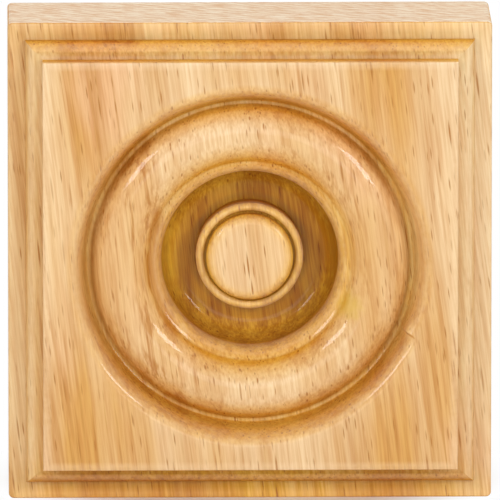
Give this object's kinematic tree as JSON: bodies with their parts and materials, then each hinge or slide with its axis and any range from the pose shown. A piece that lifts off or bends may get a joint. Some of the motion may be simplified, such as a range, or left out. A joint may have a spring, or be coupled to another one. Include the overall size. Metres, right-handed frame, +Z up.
{
  "type": "rosette applique",
  "caption": "Square hardwood rosette block with a turned bullseye and a stepped quarter-round border, for a casing corner.",
  "frame": {"origin": "centre of the flat back face", "axes": "+Z up along the grain, +Y out of the back into the wall, so the turned face looks along -Y"},
  "size_m": [0.0888, 0.0286, 0.0888],
  "materials": {
    "rosette_wood": "clear satin finish over light hardwood"
  },
  "bodies": {
    "root": {"rosette_block": "rosette_wood"}
  },
  "joints": []
}
